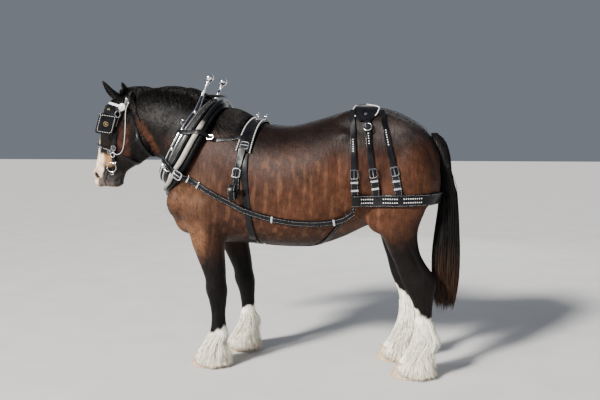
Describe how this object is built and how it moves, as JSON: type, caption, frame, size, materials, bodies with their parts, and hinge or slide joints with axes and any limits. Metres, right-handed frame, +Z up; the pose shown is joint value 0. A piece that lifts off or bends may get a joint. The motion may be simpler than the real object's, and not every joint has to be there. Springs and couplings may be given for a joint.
{
  "type": "draught horse in harness",
  "caption": "Standing heavy draught horse with feathered feet, long tail and mane, in a collar, hames, breeching and blinkered bridle, without reins, lead or cart.",
  "frame": {"origin": "middle of the bounding box, at the level of the soles of the hooves", "axes": "-X the way the horse looks, +X towards the tail, -Y its left side, +Z up"},
  "size_m": [2.6308, 0.8918, 2.0123],
  "materials": {
    "black_leather": "patent black leather",
    "chrome": "polished",
    "coat_bay": "short bay coat, darker on the back, head and neck",
    "coat_black": "short black coat",
    "coat_white": "long silky white hair",
    "eye": "wet and glossy",
    "hair_black": "long black hair",
    "horn": "horn, matt",
    "white_trim": "white leather and cord"
  },
  "bodies": {
    "root": {"back_pad": "black_leather", "back_strap": "black_leather", "bit_ring_left": "chrome", "bit_ring_right": "chrome", "blinder_left": "black_leather", "blinder_right": "black_leather", "breeching": "black_leather", "browband": "white_trim", "cheek_cord_left": "white_trim", "cheek_cord_right": "white_trim", "cheek_left": "black_leather", "cheek_right": "black_leather", "collar": "black_leather", "crown": "black_leather", "ear_left": "coat_bay", "ear_right": "coat_bay", "eye_left": "eye", "eye_right": "eye", "foot_fore_left": "coat_white", "foot_fore_right": "coat_white", "foot_hind_left": "coat_white", "foot_hind_right": "coat_white", "girth": "black_leather", "hame_left": "chrome", "hame_right": "chrome", "head": "coat_bay", "hip_plate": "black_leather", "hip_strap_front_left": "black_leather", "hip_strap_front_right": "black_leather", "hip_strap_middle_left": "black_leather", "hip_strap_middle_right": "black_leather", "hip_strap_rear_left": "black_leather", "hip_strap_rear_right": "black_leather", "hoof_fore_left": "horn", "hoof_fore_right": "horn", "hoof_hind_left": "horn", "hoof_hind_right": "horn", "leg_fore_left": "coat_black", "leg_fore_right": "coat_black", "leg_hind_left": "coat_black", "leg_hind_right": "coat_black", "martingale": "black_leather", "neck": "coat_bay", "noseband": "black_leather", "quarter_strap_left": "black_leather", "quarter_strap_right": "black_leather", "rosette_left": "white_trim", "rosette_right": "white_trim", "tail": "hair_black", "throatlatch": "black_leather", "torso": "coat_bay", "trace_left": "black_leather", "trace_right": "black_leather", "tug_left": "black_leather", "tug_right": "black_leather", "tug_strap_left": "black_leather", "tug_strap_right": "black_leather"}
  },
  "joints": []
}
